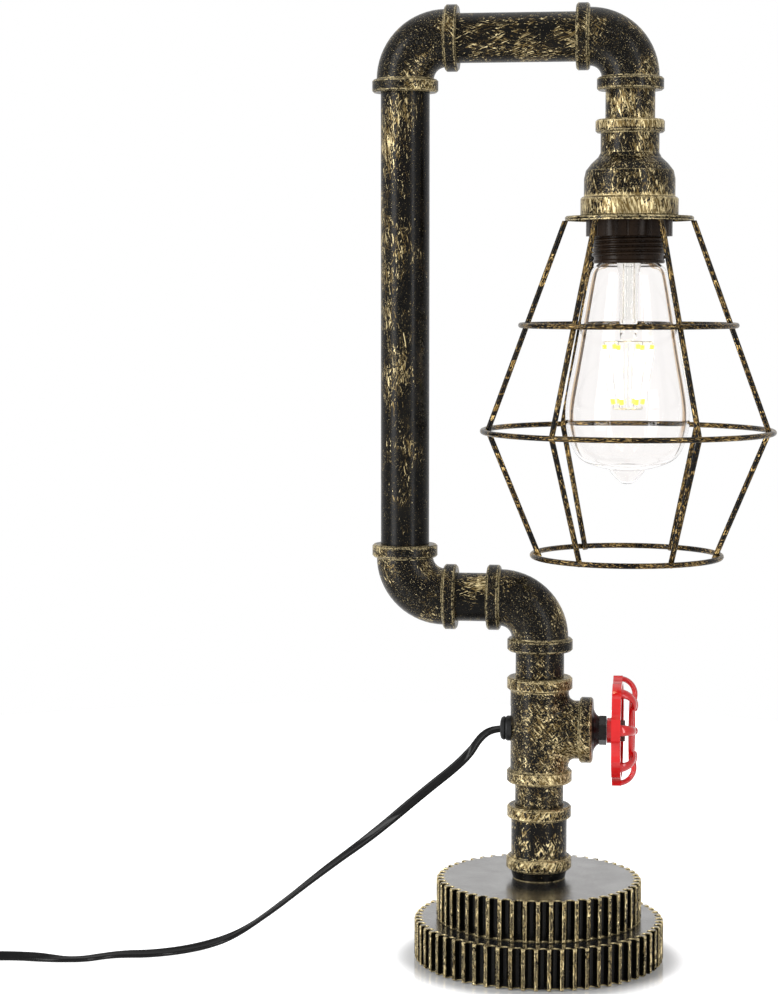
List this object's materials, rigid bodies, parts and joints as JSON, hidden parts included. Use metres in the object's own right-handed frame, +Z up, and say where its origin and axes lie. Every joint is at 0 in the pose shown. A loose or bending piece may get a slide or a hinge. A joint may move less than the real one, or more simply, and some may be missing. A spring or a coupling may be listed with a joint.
{
  "type": "pipe table lamp",
  "caption": "Table lamp of threaded pipe and elbows on stacked gear discs, with a red handwheel dimmer and a lit bulb in a hanging wire cage",
  "frame": {"origin": "middle of the underside of the base, on the axis of the lower pipe", "axes": "+Z up, +X along the top pipe towards the bulb; the handwheel turns about X"},
  "size_m": [0.5244, 0.1606, 0.5242],
  "materials": {
    "painted_iron": "malleable iron painted black and dry-brushed with gold",
    "painted_pipe": "steel pipe painted black with gold brush strokes",
    "gear_metal": "cast gear, dark in the tooth spaces, bronze on the teeth, satin grey on top",
    "pad_rubber": "matt black sheet rubber",
    "steel": "bare zinc-plated steel",
    "red_enamel": "gloss red enamel on cast metal",
    "bronze_wire": "steel wire painted black and dry-brushed with gold",
    "black_metal": "satin black",
    "bakelite": "brown-black moulded phenolic",
    "porcelain": "glazed porcelain",
    "brass": "plain brass",
    "bulb_cap_metal": "bright cap",
    "clear_glass": "clear",
    "phosphor": "lit warm yellow-white",
    "black_glass": "black vitrite",
    "lead_sheath": "smooth black sheath",
    "plug_plastic": "moulded black"
  },
  "bodies": {
    "lamp": {"lower_gear": "gear_metal", "upper_gear": "gear_metal", "base_pad": "pad_rubber", "base_washer": "steel", "base_lock_nut": "steel", "base_nipple": "painted_pipe", "base_coupling": "painted_iron", "column_elbow": "painted_iron", "top_elbow": "painted_iron", "riser_elbow": "painted_iron", "arm_elbow": "painted_iron", "tee": "painted_iron", "lower_nipple": "painted_pipe", "upper_nipple": "painted_pipe", "offset_nipple": "painted_pipe", "column_pipe": "painted_pipe", "arm_pipe": "painted_pipe", "drop_nipple": "painted_pipe", "dimmer_bonnet": "black_metal", "dimmer_body": "bakelite", "cord_grommet": "lead_sheath", "reducer": "painted_iron", "holder_bush": "steel", "holder_lock_nut": "steel", "holder_stud": "steel", "lampholder_shell": "bakelite", "lampholder_insert": "porcelain", "screw_shell": "brass", "centre_contact": "brass", "shade_ring": "bakelite", "cage_plate": "bronze_wire", "cage_ring_upper": "bronze_wire", "cage_ring_middle": "bronze_wire", "cage_ring_lower": "bronze_wire", "cage_rib_1": "bronze_wire", "cage_rib_2": "bronze_wire", "cage_rib_3": "bronze_wire", "cage_rib_4": "bronze_wire", "cage_rib_5": "bronze_wire", "cage_rib_6": "bronze_wire", "cord": "lead_sheath", "inner_lead": "lead_sheath", "cord_coil": "lead_sheath", "cord_tail": "lead_sheath", "plug_body": "plug_plastic", "plug_blades": "brass"},
    "dimmer_wheel": {"dimmer_spindle": "steel", "handwheel": "red_enamel", "handwheel_nut": "steel"},
    "bulb": {"bulb_glass": "clear_glass", "bulb_cap": "bulb_cap_metal", "bulb_insulator": "black_glass", "bulb_contact": "brass", "bulb_stem": "clear_glass", "bulb_filaments": "phosphor", "bulb_support_wires": "steel"}
  },
  "joints": [
    {"name": "dimmer_turn", "type": "hinge", "parent": "lamp", "child": "dimmer_wheel", "pos_m": [0.045, 0, 0.1286], "axis": [1, 0, 0], "range_deg": [0, 300]},
    {"name": "bulb_removal", "type": "slide", "parent": "lamp", "child": "bulb", "axis": [0, 0, -1], "range_m": [0, 0.095]}
  ]
}
